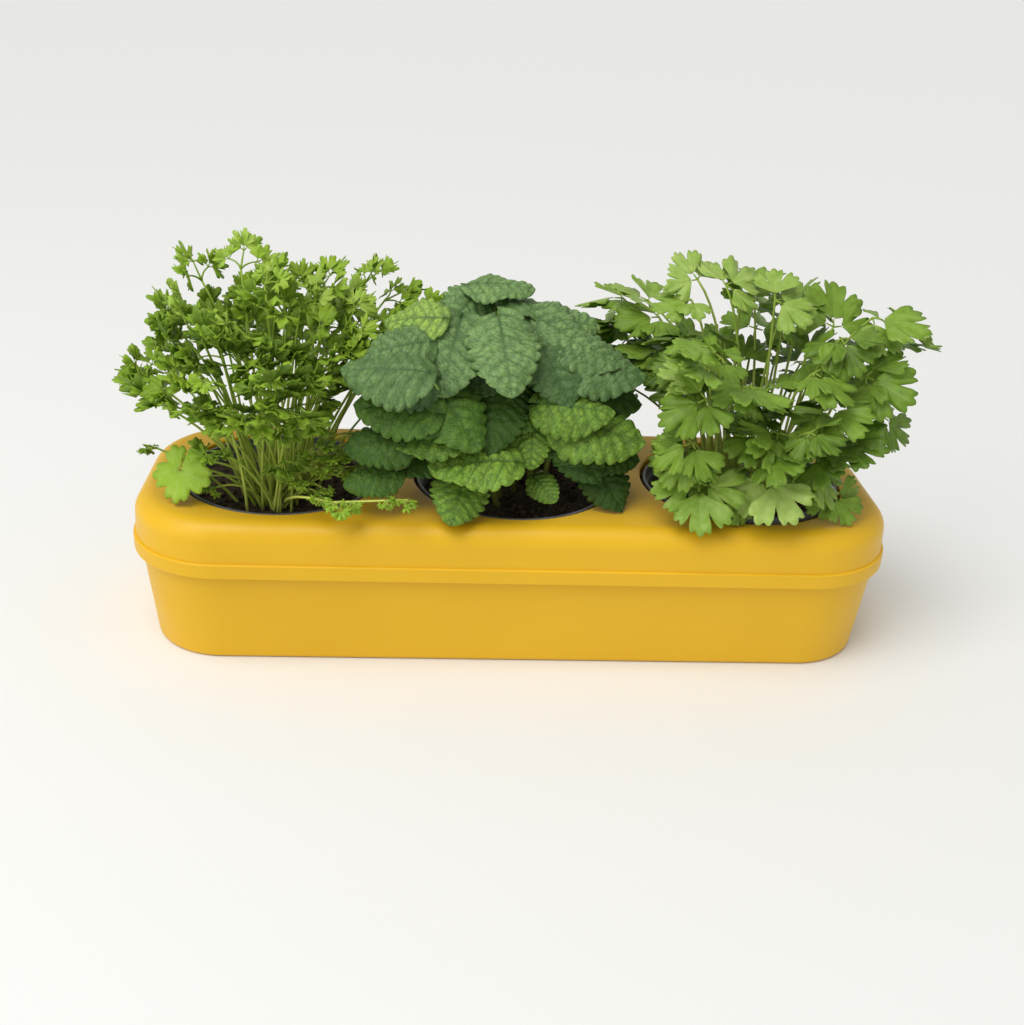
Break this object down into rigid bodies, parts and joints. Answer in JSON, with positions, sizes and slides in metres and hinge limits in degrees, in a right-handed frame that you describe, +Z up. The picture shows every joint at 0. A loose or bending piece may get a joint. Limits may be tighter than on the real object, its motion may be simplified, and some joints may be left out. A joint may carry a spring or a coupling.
{
  "type": "self-watering planter",
  "caption": "Long tapered window-sill planter: a water tray with an inner rack and felt wicks, a rounded cover with round openings, and a leafy herb in a lift-out pot in each opening.",
  "frame": {"origin": "middle of the tray's underside, on the surface that the planter stands on", "axes": "+X along the planter towards the flat-leaf parsley, -Y the front, +Z up"},
  "size_m": [0.497, 0.1611, 0.2325],
  "materials": {
    "yellow_plastic": "smooth satin moulding, strong warm yellow",
    "rack_plastic": "plain moulded dark grey",
    "pot_plastic": "thin vacuum-formed dark grey, faint sheen",
    "felt": "needled felt, matt",
    "soil": "moist dark potting soil with fibres",
    "curly_parsley_stalk": "thin pale yellow-green stalks",
    "curly_parsley_leaf": "fresh mid green, finely toothed",
    "lemon_balm_stalk": "square green stalks",
    "lemon_balm_leaf": "dark green, quilted, soft sheen",
    "flat_parsley_stalk": "thin light green stalks",
    "flat_parsley_leaf": "light green, glossy, toothed lobes"
  },
  "bodies": {
    "reservoir": {"reservoir_tray": "yellow_plastic"},
    "rack": {"pot_rack": "rack_plastic", "wick_strip_left": "felt", "wick_strip_centre": "felt", "wick_strip_right": "felt", "capillary_mat_left": "felt", "capillary_mat_centre": "felt", "capillary_mat_right": "felt"},
    "cover": {"top_cover": "yellow_plastic"},
    "herb_left": {"pot_left": "pot_plastic", "soil_left": "soil", "curly_parsley_stalks": "curly_parsley_stalk", "curly_parsley_leaves": "curly_parsley_leaf"},
    "herb_centre": {"pot_centre": "pot_plastic", "soil_centre": "soil", "lemon_balm_stalks": "lemon_balm_stalk", "lemon_balm_leaves": "lemon_balm_leaf"},
    "herb_right": {"pot_right": "pot_plastic", "soil_right": "soil", "flat_parsley_stalks": "flat_parsley_stalk", "flat_parsley_leaves": "flat_parsley_leaf"}
  },
  "joints": [
    {"name": "rack_lift", "type": "slide", "parent": "reservoir", "child": "rack", "axis": [0, 0, 1], "range_m": [0, 0.085]},
    {"name": "cover_lift", "type": "slide", "parent": "rack", "child": "cover", "axis": [0, 0, 1], "range_m": [0, 0.1]},
    {"name": "pot_lift_left", "type": "slide", "parent": "cover", "child": "herb_left", "axis": [0, 0, 1], "range_m": [0, 0.12]},
    {"name": "pot_lift_centre", "type": "slide", "parent": "cover", "child": "herb_centre", "axis": [0, 0, 1], "range_m": [0, 0.12]},
    {"name": "pot_lift_right", "type": "slide", "parent": "cover", "child": "herb_right", "axis": [0, 0, 1], "range_m": [0, 0.12]}
  ]
}
